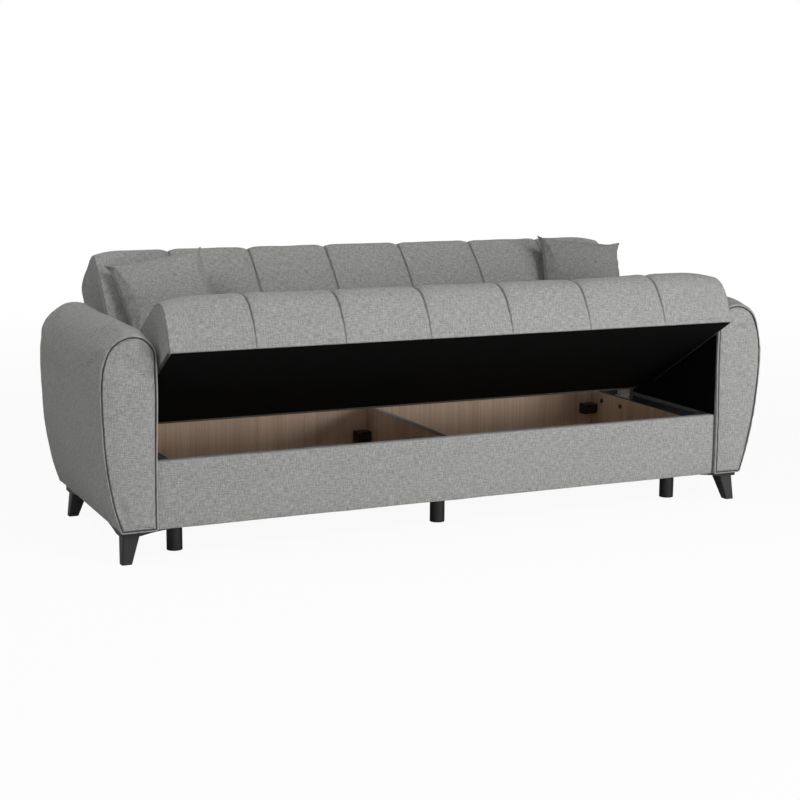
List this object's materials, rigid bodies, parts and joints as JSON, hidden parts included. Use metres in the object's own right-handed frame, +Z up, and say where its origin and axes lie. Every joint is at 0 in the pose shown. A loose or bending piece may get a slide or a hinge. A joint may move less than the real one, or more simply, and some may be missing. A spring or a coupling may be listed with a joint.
{
  "type": "storage sofa",
  "caption": "Upholstered storage sofa bed with rolled arms, a channelled seat that lifts over a wooden box, a reclining back and two throw pillows.",
  "frame": {"origin": "on the floor, under the middle of the overall box of the sofa as stored, with the seat raised and the back leaning", "axes": "+Z up, +X along the sofa's length, -Y towards its front"},
  "size_m": [2.232, 1.0051, 0.8566],
  "materials": {
    "timber": "matte",
    "laminate": "satin",
    "slate_edge": "satin",
    "black_cloth": "matte",
    "piping_cloth": "matte",
    "pillow_linen": "matte",
    "black_plastic": "satin",
    "zinc_steel": "satin",
    "dark_steel": "satin",
    "foam": "matte",
    "grey_linen": "matte"
  },
  "bodies": {
    "base": {"arm_bolts": "dark_steel", "arm_frame_left": "timber", "arm_frame_right": "timber", "arm_front_left": "grey_linen", "arm_front_right": "grey_linen", "arm_liner_left": "black_cloth", "arm_liner_right": "black_cloth", "arm_piping_left": "piping_cloth", "arm_piping_right": "piping_cloth", "arm_rear_left": "grey_linen", "arm_rear_right": "grey_linen", "arm_wrap_left": "grey_linen", "arm_wrap_right": "grey_linen", "box_back_panel": "laminate", "box_divider": "laminate", "box_floor": "timber", "box_side_left": "laminate", "box_side_right": "laminate", "bracket_screws": "dark_steel", "corner_blocks": "black_plastic", "corner_leg_bolts": "dark_steel", "corner_leg_front_left": "black_plastic", "corner_leg_front_right": "black_plastic", "corner_leg_rear_left": "black_plastic", "corner_leg_rear_right": "black_plastic", "divider_trim": "slate_edge", "floor_battens": "timber", "front_rail_board": "timber", "front_rail_cover": "grey_linen", "hinge_bracket_left": "zinc_steel", "hinge_bracket_right": "zinc_steel", "hinge_pin_left": "zinc_steel", "hinge_pin_right": "zinc_steel", "hinge_washers": "zinc_steel", "ledge_left": "slate_edge", "ledge_right": "slate_edge", "mid_leg_bolts": "dark_steel", "mid_legs_front": "black_plastic", "mid_legs_rear": "black_plastic", "rear_cloth_panel": "black_cloth", "side_beam_left": "timber", "side_beam_right": "timber"},
    "back": {"back_cushion": "grey_linen", "back_frame": "timber", "back_hinge_plate_left": "dark_steel", "back_hinge_plate_right": "dark_steel", "back_plate_bolts": "dark_steel", "back_rear_cover": "grey_linen", "back_spring_blocks": "foam"},
    "left_pillow": {"pillow_left": "pillow_linen"},
    "right_pillow": {"pillow_right": "pillow_linen"},
    "seat": {"seat_cushion": "grey_linen", "seat_dust_cover": "black_cloth", "seat_frame": "timber", "seat_hinge_plate_left": "dark_steel", "seat_hinge_plate_right": "dark_steel", "seat_plate_bolts": "dark_steel", "seat_spring_blocks": "foam"}
  },
  "joints": [
    {"name": "seat_lift", "type": "hinge", "parent": "base", "child": "seat", "pos_m": [0, 0.085, 0.47], "axis": [1, 0, 0], "range_deg": [0, 30.5]},
    {"name": "back_recline", "type": "hinge", "parent": "base", "child": "back", "pos_m": [0, 0.085, 0.47], "axis": [1, 0, 0], "range_deg": [-53, 15]},
    {"name": "left_pillow_lift", "type": "slide", "parent": "back", "child": "left_pillow", "axis": [0, 0.6018, 0.7986], "range_m": [0, 0.35]},
    {"name": "right_pillow_lift", "type": "slide", "parent": "back", "child": "right_pillow", "axis": [0, 0.6018, 0.7986], "range_m": [0, 0.35]}
  ]
}
